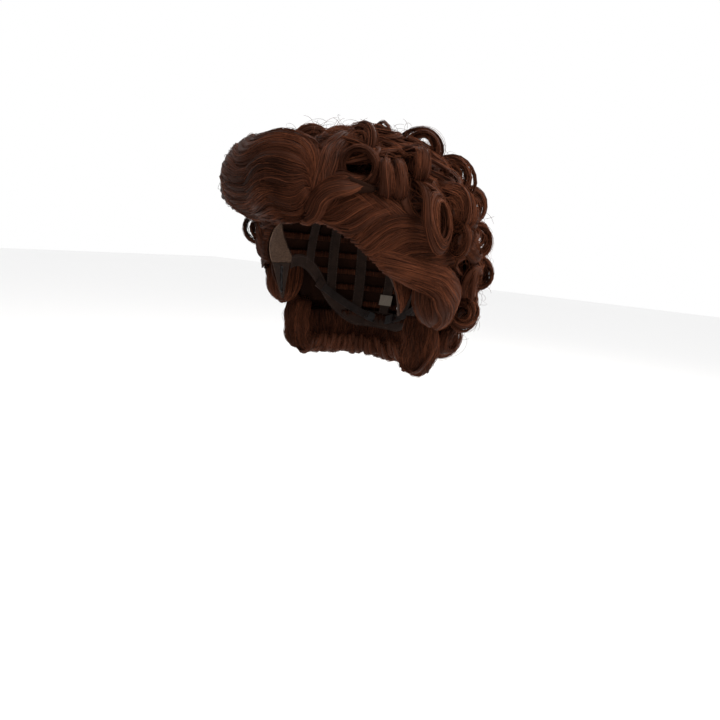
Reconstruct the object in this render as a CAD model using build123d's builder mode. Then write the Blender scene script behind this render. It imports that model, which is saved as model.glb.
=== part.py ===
from build123d import *
from math import cos, radians, sin, sqrt
import os

# Costume wig in a 1940s style: a sewn elastic cap, a pompadour roll over the wearer's right brow,
# a wave and an open barrel curl over the left brow, smooth rolls over the ears, and rows of
# set curls over the crown, back and nape.
# Frame: millimetres, +Z up, the face looks along -Y, the wearer's left is +X.
# The origin is the centre of the head, level with the eyes, where the head form is widest.

# ---- head form and cap -------------------------------------------------------------------
HEAD = (76.0, 96.0, 108.0)          # half width, half depth and half height of the head form
CAP = 0.9                           # thickness of the cap's net, lace, tape and band
WEFT = (1.0, 2.4)                   # gaps from the head form to a weft's faces
HAIR_GAP = 2.5                      # gap from the head form to the hair mass
REACH = 200.0                       # half size of cutting blocks, beyond the whole wig

BAND_TOP = 13.0                     # height of the side band where it meets the front band
TAB_LINE = 6.0                      # height of the fold line of the ear tabs
TAB_GAP = 0.5                       # gap along that fold line
CROWN_RIM = 58.0                    # height where the crown net meets the ribs
NAPE_BAND = (-62.0, -44.0)          # bottom and top of the nape band
NAPE_FRONT = 72.0                   # depth where the side bands meet the nape band
RIB_WIDTH = 12.0
RIB_STEP = 22.0                     # degrees between ribs
WEFT_HEIGHT = 7.0
RIB_WEFTS = (-40.0, -22.0, -4.0, 14.0, 32.0, 50.0)
CROWN_WEFTS = (66.0, 80.0, 94.0)
LABEL_HEIGHT = -30.0                # height of the label's middle
LABEL_SIZE = (16.0, 12.0)

# ---- hair --------------------------------------------------------------------------------
MOUND_CENTRE = (0.0, 20.0, 12.0)    # the teased hair mass under the curls
MOUND = (104.0, 116.0, 120.0)
MOUND_SPLIT = 60.0                  # height where crown hair meets side and back hair
BACK_FRONT = 40.0                   # depth where the temple hair meets the back hair
BACK_BOTTOM = -40.0

POMPADOUR = (100.0, 86.0, 34.0)     # ring radius, ring height and roll radius at the parting
POMPADOUR_TAPER = 1.5               # each lock towards the temple is this much smaller and lower
POMPADOUR_TURN = (-64.0, 5.0)       # degrees, from the wearer's right temple to the parting
POMPADOUR_LOCKS = 3
LOCK_GAP = 0.3                      # degrees between one lock and the next
WAVE = (92.0, 82.0, 20.0)
WAVE_TURN = (6.0, 46.0)
BARREL_RISE, BARREL_TURN = 40.5, 30.0
BARREL_RADIUS, BARREL_LENGTH = 18.0, 26.0
BARREL_TILT = 0.25                  # how far its mouth looks up, as a slope

EAR_ROLLS = {                       # centre and half sizes; the left one is fuller
    "left": ((104.0, -1.0, -9.0), (18.0, 31.0, 32.0)),
    "right": ((-90.0, 11.0, -10.0), (12.0, 27.0, 30.0)),
}
EAR_GAP = 10.5                      # gap from the head form, room for the ear and its tab
NAPE_TOP, NAPE_BOTTOM = -40.5, -95.0
NAPE_INNER, NAPE_OUTER = (62.0, 58.0), (96.0, 82.0)
NAPE_TURN = {"left": (96.0, 150.0), "centre": (150.0, 210.0), "right": (210.0, 264.0)}

# One row of set curls each: height on the mound in degrees, first and last turn in degrees,
# number of curls, curl radius, and how far the row is teased off the mound.
CURL_ROWS = {
    "curl_row_1": (58.0, 0.0, 330.0, 12, 16.0, 4.0),
    "curl_row_2": (43.0, 66.0, 288.0, 11, 16.5, 6.5),
    "curl_row_3": (28.0, 62.0, 284.0, 13, 16.5, 8.0),
    "curl_row_4": (13.0, 80.0, 280.0, 13, 16.0, 7.0),
    "curl_row_5": (-2.0, 102.0, 258.0, 11, 15.5, 7.0),
    "curl_row_6": (-17.0, 104.0, 248.0, 10, 15.5, 7.0),
    "curl_row_7": (-32.0, 108.0, 244.0, 8, 15.0, 5.0),
}
TOP_CURL_RADIUS = 14.5
TOP_RING_HEIGHT = 74.0
CURL_LENGTH = 28.0
CURL_ROUND = 3.5

# ---- adjuster straps ---------------------------------------------------------------------
STRAP = (-1.8, -0.8)                # gaps from the head form to the strap's faces
STRAP_WIDTH = 9.0
STRAP_START = (50.0, -20.0)         # depth and height of the sewn end
STRAP_END = (82.0, -50.0)           # depth and height of the hooked end
BAR_DEPTH = 3.3                     # how far inside the head form the hook's bar lies
BAR_RADIUS, SLEEVE_BORE, SLEEVE_RADIUS = 0.7, 1.1, 1.9
SLEEVE_LENGTH = 7.6
HOOK_LENGTH, HOOK_WIDTH, HOOK_THICK = 10.2, 10.6, 1.0
HOOK_LEG = 0.9
LEG_MIDDLE, LEG_LENGTH = 1.4, 3.4   # along the hook, measured from the bar
PLATE_START = 2.3
LIP_THICK, LIP_HEIGHT, LIP_WIDTH = 0.8, 1.5, 5.0
LOOP_SPOTS = (3.6, 7.1, 10.6)       # loops along the tape, measured from the strap's end

os.makedirs("parts", exist_ok=True)


def save(builder, label):
    """Label a finished piece and write its STEP file."""
    builder.part.label = label
    export_step(builder.part, f"parts/{label}.step")


def ellipsoid(centre, half):
    """A solid ellipsoid with its half axes along X, Y and Z."""
    with BuildPart() as body:
        Sphere(100)
        scale(by=tuple(size / 100 for size in half))
    return body.part.moved(Location(centre))


def head_form(gap):
    """The head form grown by a gap all round."""
    return ellipsoid((0, 0, 0), tuple(size + gap for size in HEAD))


def layer(inner, outer):
    """A skin over the head form between two gaps."""
    with BuildPart() as skin:
        add(head_form(outer))
        add(head_form(inner), mode=Mode.SUBTRACT)
    return skin.part


def side_prism(*runs):
    """A block right across the wig with this side view, in depth and height.

    A run of two points is a straight edge and a longer one is a smooth curve."""
    with BuildPart() as prism:
        with BuildSketch(Plane.YZ):
            with BuildLine():
                for run in runs:
                    if len(run) == 2:
                        Line(*run)
                    else:
                        Spline(*run)
            make_face()
        extrude(amount=REACH, both=True)
    return prism.part


def slab(bottom, top):
    """Everything between two heights."""
    with BuildPart() as block:
        with BuildSketch(Plane.XY.offset(bottom)):
            Rectangle(2 * REACH, 2 * REACH)
        extrude(amount=top - bottom)
    return block.part


def half_space(side):
    """Everything on the wearer's left (side +1) or right (side -1)."""
    with BuildPart() as block:
        with BuildSketch(Plane.YZ):
            Rectangle(2 * REACH, 2 * REACH)
        extrude(amount=side * REACH)
    return block.part


def mirrored(part):
    """The same piece on the wearer's right."""
    return mirror(part, about=Plane.YZ, mode=Mode.PRIVATE)


def reverse(run):
    """The same run drawn the other way."""
    return list(reversed(run))


def on_head(depth, height, gap=0.0):
    """The point on the wearer's left of the head form at this depth and height."""
    spare = 1 - (depth / HEAD[1]) ** 2 - (height / HEAD[2]) ** 2
    point = Vector(HEAD[0] * sqrt(spare), depth, height)
    return point + head_normal(point) * gap


def head_normal(point):
    """The outward direction of the head form at a point."""
    return Vector(*(c / size**2 for c, size in zip(tuple(point), HEAD))).normalized()


# Side-view outlines, as depth and height.
HAIRLINE = [(-110, 52), (-81, 50), (-66, 32), (-46, 12), (-38, TAB_LINE)]
BAND_INNER = [(-95, 112), (-64.5, 80), (-44, 55), (-20, 33), (2, BAND_TOP)]
SIDE_BAND_TOP = [(2, BAND_TOP), (22, 15), (42, 4), (58, -22), (NAPE_FRONT, NAPE_BAND[1])]
SIDE_BAND_BOTTOM = [(2, -1), (22, 1), (40, -13), (56, -42), (NAPE_FRONT, NAPE_BAND[0])]
TAB_FRONT = [(-37, TAB_LINE - TAB_GAP), (-25, -12), (-17, -30)]
TAB_REAR = [(-11, -30), (-4, -12), (0, TAB_LINE - TAB_GAP)]

behind_band = side_prism(
    BAND_INNER, [(2, BAND_TOP), (2, -80)], [(2, -80), (130, -80)],
    [(130, -80), (130, 150)], [(130, 150), (-95, 150)], [(-95, 150), (-95, 112)],
)
above_side_band = side_prism(
    SIDE_BAND_TOP, [(NAPE_FRONT, NAPE_BAND[1]), (130, NAPE_BAND[1])],
    [(130, NAPE_BAND[1]), (130, 150)], [(130, 150), (-95, 150)],
    [(-95, 150), (-95, 112)], BAND_INNER,
)
cap_skin = layer(0, CAP)

# ---- cap ---------------------------------------------------------------------------------
with BuildPart() as crown_net:
    add(cap_skin)
    add(behind_band, mode=Mode.INTERSECT)
    split(bisect_by=Plane.XY.offset(CROWN_RIM), keep=Keep.TOP)
save(crown_net, "crown_net")

with BuildPart() as front_band:
    add(cap_skin)
    add(
        side_prism(
            HAIRLINE, [(-38, TAB_LINE), (2, TAB_LINE)], [(2, TAB_LINE), (2, BAND_TOP)],
            reverse(BAND_INNER), [(-95, 112), (-110, 52)],
        ),
        mode=Mode.INTERSECT,
    )
save(front_band, "front_band")

with BuildPart() as side_band_left:
    add(cap_skin)
    add(
        side_prism(
            SIDE_BAND_BOTTOM, [(NAPE_FRONT, NAPE_BAND[0]), (NAPE_FRONT, NAPE_BAND[1])],
            reverse(SIDE_BAND_TOP), [(2, BAND_TOP), (2, -1)],
        ),
        mode=Mode.INTERSECT,
    )
    add(half_space(1), mode=Mode.INTERSECT)
save(side_band_left, "side_band_left")

with BuildPart() as side_band_right:
    add(mirrored(side_band_left.part))
save(side_band_right, "side_band_right")

with BuildPart() as nape_band:
    add(cap_skin)
    add(slab(*NAPE_BAND), mode=Mode.INTERSECT)
    split(bisect_by=Plane.XZ.offset(-NAPE_FRONT), keep=Keep.BOTTOM)
save(nape_band, "nape_band")

tab_outline = side_prism(
    TAB_FRONT, [(-17, -30), (-14, -33), (-11, -30)], TAB_REAR,
    [(0, TAB_LINE - TAB_GAP), (-37, TAB_LINE - TAB_GAP)],
)


def tab_layer(inner, outer):
    """A skin in the shape of the left ear tab."""
    with BuildPart() as skin:
        add(layer(inner, outer))
        add(tab_outline, mode=Mode.INTERSECT)
        add(half_space(1), mode=Mode.INTERSECT)
    return skin.part


with BuildPart() as ear_tab_left:
    add(tab_layer(0, CAP))
save(ear_tab_left, "ear_tab_left")

with BuildPart() as ear_tab_right:
    add(mirrored(ear_tab_left.part))
save(ear_tab_right, "ear_tab_right")

# A springy flat stay in a sleeve on the inside of each ear tab.
with BuildPart() as ear_stay_left:
    add(tab_layer(-0.9, -0.1))
    add(side_prism([(-18, -26), (-14, -26)], [(-14, -26), (-14, 2)],
                   [(-14, 2), (-18, 2)], [(-18, 2), (-18, -26)]), mode=Mode.INTERSECT)
save(ear_stay_left, "ear_stay_left")

with BuildPart() as ear_stay_right:
    add(mirrored(ear_stay_left.part))
save(ear_stay_right, "ear_stay_right")

rib_zone = slab(NAPE_BAND[1], CROWN_RIM)


def rib_slice(turn):
    """One upright tape of the cap at this turn, between the bands and the net."""
    with BuildPart() as tape:
        with BuildSketch(Plane.XY.offset(-REACH)):
            with Locations(Rotation(0, 0, turn - 90)):
                with Locations((REACH / 2, 0)):
                    Rectangle(REACH, RIB_WIDTH)
        extrude(amount=2 * REACH)
        add(cap_skin, mode=Mode.INTERSECT)
        add(rib_zone, mode=Mode.INTERSECT)
        add(above_side_band, mode=Mode.INTERSECT)
    return tape.part


with BuildPart() as rib_centre:
    add(rib_slice(180))
save(rib_centre, "rib_centre")

for number in (1, 2, 3):
    with BuildPart() as rib:
        add(rib_slice(180 - RIB_STEP * number))
    save(rib, f"rib_left_{number}")
    with BuildPart() as rib_mirror:
        add(mirrored(rib.part))
    save(rib_mirror, f"rib_right_{number}")

weft_skin = layer(*WEFT)
for number, height in enumerate(RIB_WEFTS + CROWN_WEFTS, start=1):
    with BuildPart() as weft_row:
        add(weft_skin)
        add(slab(height, height + WEFT_HEIGHT), mode=Mode.INTERSECT)
        add(above_side_band, mode=Mode.INTERSECT)
    save(weft_row, f"weft_row_{number}")

# A blank fabric label on the centre tape.
with BuildPart() as size_label:
    add(layer(-0.7, -0.1))
    with BuildSketch(Plane.XZ):
        with Locations((0, LABEL_HEIGHT)):
            Rectangle(*LABEL_SIZE)
    extrude(amount=-REACH, mode=Mode.INTERSECT)
save(size_label, "size_label")

# ---- adjuster straps ---------------------------------------------------------------------
strap_start = on_head(*STRAP_START, gap=sum(STRAP) / 2)
strap_end = on_head(*STRAP_END, gap=sum(STRAP) / 2)
strap_run = (strap_end - strap_start).normalized()
strap_length = (strap_end - strap_start).length
strap_across = strap_start.cross(strap_end).normalized()
strap_plane = Plane(origin=strap_start, x_dir=strap_run, z_dir=strap_across)


def strap_slice(inner, outer, start, end, width):
    """A skin along the strap's line, between two distances from its sewn end."""
    with BuildPart() as piece:
        with BuildSketch(strap_plane.offset(-width / 2)):
            with Locations(((start + end) / 2, 0)):
                Rectangle(end - start, 60)
        extrude(amount=width)
        add(layer(inner, outer), mode=Mode.INTERSECT)
    return piece.part


bar_normal = head_normal(strap_end)
bar_centre = on_head(*STRAP_END, gap=-BAR_DEPTH)
hook_aim = bar_normal.cross(strap_across)
if hook_aim.dot(strap_run) < 0:
    hook_aim = -hook_aim
bar_plane = Plane(origin=bar_centre, x_dir=hook_aim, z_dir=strap_across)
outward = 1 if bar_plane.y_dir.dot(bar_normal) > 0 else -1

with BuildPart() as adjuster_strap_left:
    add(strap_slice(*STRAP, 0, strap_length, STRAP_WIDTH))
    with BuildSketch(bar_plane.offset(-SLEEVE_LENGTH / 2)):
        Circle(SLEEVE_RADIUS)
    extrude(amount=SLEEVE_LENGTH)
    with BuildSketch(bar_plane.offset(-STRAP_WIDTH / 2)):
        Circle(SLEEVE_BORE)
    extrude(amount=STRAP_WIDTH, mode=Mode.SUBTRACT)
save(adjuster_strap_left, "adjuster_strap_left")

with BuildPart() as adjuster_strap_right:
    add(mirrored(adjuster_strap_left.part))
save(adjuster_strap_right, "adjuster_strap_right")

# The hook: a bar in the strap's sleeve, two legs, a plate and a lip turned towards the cap.
with BuildPart() as strap_hook_left:
    with BuildSketch(bar_plane.offset(-HOOK_WIDTH / 2)):
        Circle(BAR_RADIUS)
    extrude(amount=HOOK_WIDTH)
    for end in (-1, 1):
        with BuildSketch(bar_plane.offset(end * (HOOK_WIDTH - HOOK_LEG) / 2 - HOOK_LEG / 2)):
            with Locations((LEG_MIDDLE, 0)):
                Rectangle(LEG_LENGTH, HOOK_THICK)
        extrude(amount=HOOK_LEG)
    with BuildSketch(bar_plane.offset(-HOOK_WIDTH / 2)):
        with Locations(((HOOK_LENGTH + PLATE_START) / 2, 0)):
            Rectangle(HOOK_LENGTH - PLATE_START, HOOK_THICK)
    extrude(amount=HOOK_WIDTH)
    with BuildSketch(bar_plane.offset(-LIP_WIDTH / 2)):
        with Locations((HOOK_LENGTH - LIP_THICK / 2, outward * LIP_HEIGHT / 2)):
            Rectangle(LIP_THICK, LIP_HEIGHT)
    extrude(amount=LIP_WIDTH)
save(strap_hook_left, "strap_hook_left")

with BuildPart() as strap_hook_right:
    add(mirrored(strap_hook_left.part))
save(strap_hook_right, "strap_hook_right")

with BuildPart() as strap_anchor_left:
    add(strap_slice(STRAP[0], -0.1, -9, -0.9, STRAP_WIDTH + 2))
save(strap_anchor_left, "strap_anchor_left")

with BuildPart() as strap_anchor_right:
    add(mirrored(strap_anchor_left.part))
save(strap_anchor_right, "strap_anchor_right")

# The loop tape: a strip sewn on the nape band with three small loops for the hook.
with BuildPart() as loop_tape_left:
    add(strap_slice(-0.7, -0.1, strap_length + 2.2, strap_length + 12.4, STRAP_WIDTH))
    for spot in LOOP_SPOTS:
        add(strap_slice(-1.4, -0.5, strap_length + spot - 0.5, strap_length + spot + 0.5, 6))
        add(strap_slice(-1.0, -0.7, strap_length + spot - 0.6, strap_length + spot + 0.6, 4),
            mode=Mode.SUBTRACT)
save(loop_tape_left, "loop_tape_left")

with BuildPart() as loop_tape_right:
    add(mirrored(loop_tape_left.part))
save(loop_tape_right, "loop_tape_right")


# ---- front rolls -------------------------------------------------------------------------
def ring_sector(ring_radius, height, roll_radius, start, end):
    """A roll of hair round the brow between two turns, standing clear of the cap."""
    aim = radians(start)
    across = Plane(origin=(0, 0, 0), x_dir=(sin(aim), -cos(aim), 0), z_dir=(-cos(aim), -sin(aim), 0))
    with BuildPart() as roll:
        with BuildSketch(across):
            with Locations((ring_radius, height)):
                Circle(roll_radius)
        revolve(axis=Axis.Z, revolution_arc=end - start)
        add(head_form(HAIR_GAP), mode=Mode.SUBTRACT)
    return roll.part


front_pieces = []
lock_turn = (POMPADOUR_TURN[1] - POMPADOUR_TURN[0]) / POMPADOUR_LOCKS
for number in range(POMPADOUR_LOCKS):
    first = POMPADOUR_TURN[0] + number * lock_turn
    with BuildPart() as front_roll:
        ring, height, size = POMPADOUR
        taper = POMPADOUR_TAPER * (POMPADOUR_LOCKS - 1 - number)
        add(ring_sector(ring, height - taper, size - taper, first, first + lock_turn - LOCK_GAP))
    save(front_roll, f"front_roll_{number + 1}")
    front_pieces.append(front_roll.part)


def mound_point(rise, turn, gap):
    """A point off the hair mound and the outward direction there."""
    level, round_turn = radians(rise), radians(turn)
    unit = (cos(level) * sin(round_turn), -cos(level) * cos(round_turn), sin(level))
    foot = Vector(*(c + half * u for c, half, u in zip(MOUND_CENTRE, MOUND, unit)))
    normal = Vector(*(u / half for u, half in zip(unit, MOUND))).normalized()
    return foot + normal * gap, normal


# The open barrel curl beside the parting; its mouth looks forward and to the left.
barrel_at, _ = mound_point(BARREL_RISE, BARREL_TURN, BARREL_RADIUS)
barrel_plane = Plane(
    origin=barrel_at,
    z_dir=(sin(radians(BARREL_TURN)), -cos(radians(BARREL_TURN)), BARREL_TILT),
)
with BuildPart() as front_barrel_curl:
    with BuildSketch(barrel_plane.offset(-BARREL_LENGTH / 2)):
        Circle(BARREL_RADIUS)
    extrude(amount=BARREL_LENGTH)
    fillet(front_barrel_curl.edges().filter_by(GeomType.CIRCLE), CURL_ROUND)
save(front_barrel_curl, "front_barrel_curl")
front_pieces.append(front_barrel_curl.part)

with BuildPart() as front_wave_left:
    add(ring_sector(*WAVE, *WAVE_TURN))
    add(front_barrel_curl.part, mode=Mode.SUBTRACT)
save(front_wave_left, "front_wave_left")
front_pieces.append(front_wave_left.part)

# ---- hair mound --------------------------------------------------------------------------
mound = ellipsoid(MOUND_CENTRE, MOUND)
HAIR_EDGE = [(-130, 54.5), (-79, 52.5), (-64, 34), (-44, 14), (-36, 8)]
hair_base = side_prism(
    HAIR_EDGE, [(-36, 8), (2, 16)], [(2, 16), (BACK_FRONT, 16)],
    [(BACK_FRONT, 16), (BACK_FRONT, BACK_BOTTOM)], [(BACK_FRONT, BACK_BOTTOM), (150, BACK_BOTTOM)],
    [(150, BACK_BOTTOM), (150, 150)], [(150, 150), (-130, 150)], [(-130, 150), (-130, 54.5)],
)
with BuildPart() as hair_mass:
    add(mound)
    add(hair_base, mode=Mode.INTERSECT)
    add(head_form(HAIR_GAP), mode=Mode.SUBTRACT)
    for piece in front_pieces:
        add(piece, mode=Mode.SUBTRACT)

with BuildPart() as base_crown:
    add(hair_mass.part)
    split(bisect_by=Plane.XY.offset(MOUND_SPLIT), keep=Keep.TOP)
save(base_crown, "base_crown")

front_block = Plane.XZ.offset(-BACK_FRONT)
for side, name in ((1, "left"), (-1, "right")):
    with BuildPart() as side_hair:
        add(hair_mass.part)
        split(bisect_by=Plane.XY.offset(MOUND_SPLIT), keep=Keep.BOTTOM)
        add(half_space(side), mode=Mode.INTERSECT)
    with BuildPart() as temple_hair:
        add(side_hair.part)
        split(bisect_by=front_block, keep=Keep.TOP)
    save(temple_hair, f"temple_hair_{name}")
    with BuildPart() as base_back:
        add(side_hair.part)
        split(bisect_by=front_block, keep=Keep.BOTTOM)
    save(base_back, f"base_back_{name}")

# ---- sides -------------------------------------------------------------------------------
# The ear rolls hang just below the lower edge of the temple hair.
below_temples = side_prism(
    [(-60, -80), (-60, 7.5)], [(-60, 7.5), (-36, 7.5)], [(-36, 7.5), (2, 15.5)],
    [(2, 15.5), (60, 15.5)], [(60, 15.5), (60, -80)], [(60, -80), (-60, -80)],
)
for name, (centre, half) in EAR_ROLLS.items():
    with BuildPart() as ear_roll:
        add(ellipsoid(centre, half))
        add(below_temples, mode=Mode.INTERSECT)
        add(head_form(EAR_GAP), mode=Mode.SUBTRACT)
    save(ear_roll, f"ear_roll_{name}")

# The sideburn hair that grows from each ear tab and moves with it.
with BuildPart() as tab_hair_left:
    add(tab_layer(1.2, 5.0))
save(tab_hair_left, "tab_hair_left")

with BuildPart() as tab_hair_right:
    add(mirrored(tab_hair_left.part))
save(tab_hair_right, "tab_hair_right")


# ---- set curls ---------------------------------------------------------------------------
def curl(rise, turn, radius, lift, facing):
    """One set curl: its mouth looks outward when facing is 0, otherwise along the row."""
    depth = CURL_LENGTH / 2 if facing == 0 else radius
    centre, normal = mound_point(rise, turn, lift + 1 + depth)
    along = Vector(cos(radians(turn)), sin(radians(turn)), 0)
    axis = normal if facing == 0 else along
    plane = Plane(origin=centre, z_dir=axis)
    length = CURL_LENGTH if facing == 0 else 2 * radius - 3
    with BuildPart() as one:
        with BuildSketch(plane.offset(-length / 2)):
            Circle(radius)
        extrude(amount=length)
        fillet(one.edges().filter_by(GeomType.CIRCLE), CURL_ROUND)
    return one.part


with BuildPart() as curls_top:
    add(curl(90, 0, TOP_CURL_RADIUS, 0, 0))
    for step in range(6):
        add(curl(TOP_RING_HEIGHT, 60 * step, TOP_CURL_RADIUS, 0, step % 2))
save(curls_top, "curls_top")

for row, (name, (rise, first, last, count, radius, lift)) in enumerate(CURL_ROWS.items()):
    with BuildPart() as curl_row:
        for index in range(count):
            turn = first + (last - first) * index / (count - 1)
            add(curl(rise, turn, radius, lift, (index + row) % 2))
    save(curl_row, name)
lowest_curls = curl_row.part

# ---- nape ---------------------------------------------------------------------------------
nape_axis = Axis((0, MOUND_CENTRE[1], 0), (0, 0, 1))
for name, (start, end) in NAPE_TURN.items():
    aim = radians(start)
    nape_plane = Plane(
        origin=(0, MOUND_CENTRE[1], 0),
        x_dir=(sin(aim), -cos(aim), 0),
        z_dir=(-cos(aim), -sin(aim), 0),
    )
    with BuildPart() as nape_hair:
        with BuildSketch(nape_plane):
            with BuildLine():
                Line((NAPE_INNER[0], NAPE_TOP), (NAPE_OUTER[0], NAPE_TOP))
                Line((NAPE_OUTER[0], NAPE_TOP), (NAPE_OUTER[0], NAPE_TOP - 30))
                ThreePointArc(
                    (NAPE_OUTER[0], NAPE_TOP - 30),
                    (NAPE_OUTER[0] - 6, NAPE_BOTTOM + 10),
                    (NAPE_OUTER[1] - 8, NAPE_BOTTOM),
                )
                Line((NAPE_OUTER[1] - 8, NAPE_BOTTOM), (NAPE_INNER[1], NAPE_BOTTOM))
                Line((NAPE_INNER[1], NAPE_BOTTOM), (NAPE_INNER[0], NAPE_TOP))
            make_face()
        revolve(axis=nape_axis, revolution_arc=end - start - LOCK_GAP)
        add(head_form(HAIR_GAP), mode=Mode.SUBTRACT)
        add(lowest_curls, mode=Mode.SUBTRACT)
    save(nape_hair, f"nape_hair_{name}")
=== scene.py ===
"""The looks of the costume wig: strand hair, and the sewn cap inside it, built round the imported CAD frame."""
import math

import bpy
import numpy as np
from mathutils import Matrix, Vector


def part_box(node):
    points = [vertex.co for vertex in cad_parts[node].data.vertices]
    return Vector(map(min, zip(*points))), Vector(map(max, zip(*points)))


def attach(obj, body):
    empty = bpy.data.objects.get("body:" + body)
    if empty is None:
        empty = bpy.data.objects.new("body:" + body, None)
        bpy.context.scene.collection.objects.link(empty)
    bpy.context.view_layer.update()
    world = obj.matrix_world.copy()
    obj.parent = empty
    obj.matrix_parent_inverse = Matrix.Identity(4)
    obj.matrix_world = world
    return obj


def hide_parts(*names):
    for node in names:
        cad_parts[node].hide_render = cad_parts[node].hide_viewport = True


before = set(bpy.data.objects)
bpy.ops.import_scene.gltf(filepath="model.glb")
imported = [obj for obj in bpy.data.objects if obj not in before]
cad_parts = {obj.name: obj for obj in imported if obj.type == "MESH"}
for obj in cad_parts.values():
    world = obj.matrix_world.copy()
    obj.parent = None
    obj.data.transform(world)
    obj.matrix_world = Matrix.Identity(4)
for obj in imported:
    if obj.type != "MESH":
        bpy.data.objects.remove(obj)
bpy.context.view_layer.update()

MM = 0.001
HEAD = np.array([76.0, 96.0, 108.0])            # half sizes of the head form, in millimetres
MOUND_CENTRE = np.array([0.0, 20.0, 12.0])      # the teased mass that the curls stand on
MOUND = np.array([104.0, 116.0, 120.0])
STRAND = 0.27                                   # radius of a strand, in millimetres
VOXEL = 4.0                                     # grain of the matted hair under the strands
UP = np.array([0.0, 0.0, 1.0])
SIDES = ((1, "left"), (-1, "right"))


# ---- small geometry helpers ------------------------------------------------------------------
def unit(v):
    return v / np.maximum(np.linalg.norm(v, axis=-1, keepdims=True), 1e-9)


def bearing(turn, rise=0.0):
    """The direction at a turn (0 in front, 90 on the wearer's left) and a rise, in degrees."""
    turn, rise = np.radians(turn), np.radians(rise)
    flat = np.cos(rise)
    return np.stack([flat * np.sin(turn), -flat * np.cos(turn), np.sin(rise) + 0 * turn], -1)


def on_mound(turn, rise, lift=0.0):
    """Points off the hair mound, and the outward directions there."""
    aim = bearing(np.asarray(turn, float), np.asarray(rise, float))
    normal = unit(aim / MOUND)
    return MOUND_CENTRE + MOUND * aim + normal * np.asarray(lift, float)[..., None], normal


def on_head(turn, height, lift=0.0):
    """Points off the head form at a turn and a height, and the outward directions there."""
    turn, height = np.asarray(turn, float), np.asarray(height, float)
    flat = np.sqrt(np.maximum(1 - (height / HEAD[2]) ** 2, 1e-4))
    point = HEAD * np.stack([np.sin(np.radians(turn)) * flat, -np.cos(np.radians(turn)) * flat,
                             height / HEAD[2]], -1)
    normal = unit(point / HEAD**2)
    return point + normal * np.asarray(lift, float)[..., None], normal


def beside_head(depth, height, side, lift=0.0):
    """Points off one side of the head form at a depth and a height, and the outward directions."""
    depth, height = np.asarray(depth, float), np.asarray(height, float)
    spare = np.maximum(1 - (depth / HEAD[1]) ** 2 - (height / HEAD[2]) ** 2, 0)
    point = np.stack([side * HEAD[0] * np.sqrt(spare), depth, height], -1)
    normal = unit(point / HEAD**2)
    return point + normal * np.asarray(lift, float)[..., None], normal


def even(points, count):
    """Evenly spaced points along a polyline; columns after the third go along with it."""
    run = np.r_[0, np.cumsum(np.linalg.norm(np.diff(points[:, :3], axis=0), axis=1))]
    at = np.linspace(0, run[-1], count)
    return np.stack([np.interp(at, run, column) for column in points.T], 1)


def smooth(points, count):
    """Evenly spaced points along the smooth line through the given ones."""
    p = np.asarray(points, float)
    p = np.vstack([2 * p[0] - p[1], p, 2 * p[-1] - p[-2]])
    spans = len(p) - 3
    u = np.linspace(0, spans, 14 * spans + 1)
    k = np.minimum(u.astype(int), spans - 1)
    f = (u - k)[:, None]
    a, b, c, d = p[k], p[k + 1], p[k + 2], p[k + 3]
    q = 2 * b + (c - a) * f + (2 * a - 5 * b + 4 * c - d) * f**2 + (3 * b - a - 3 * c + d) * f**3
    return even(0.5 * q, count)


def bezier(a, b, c, d, count):
    t = np.linspace(0, 1, count)[:, None]
    return a * (1 - t) ** 3 + 3 * b * t * (1 - t) ** 2 + 3 * c * t**2 * (1 - t) + d * t**3


def vec(*values):
    return np.array(values, float)


def jitter(rng, size, count=None):
    return rng.uniform(-size, size, count)


def ease(t):
    t = np.clip(t, 0, 1)
    return t * t * (3 - 2 * t)


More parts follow.
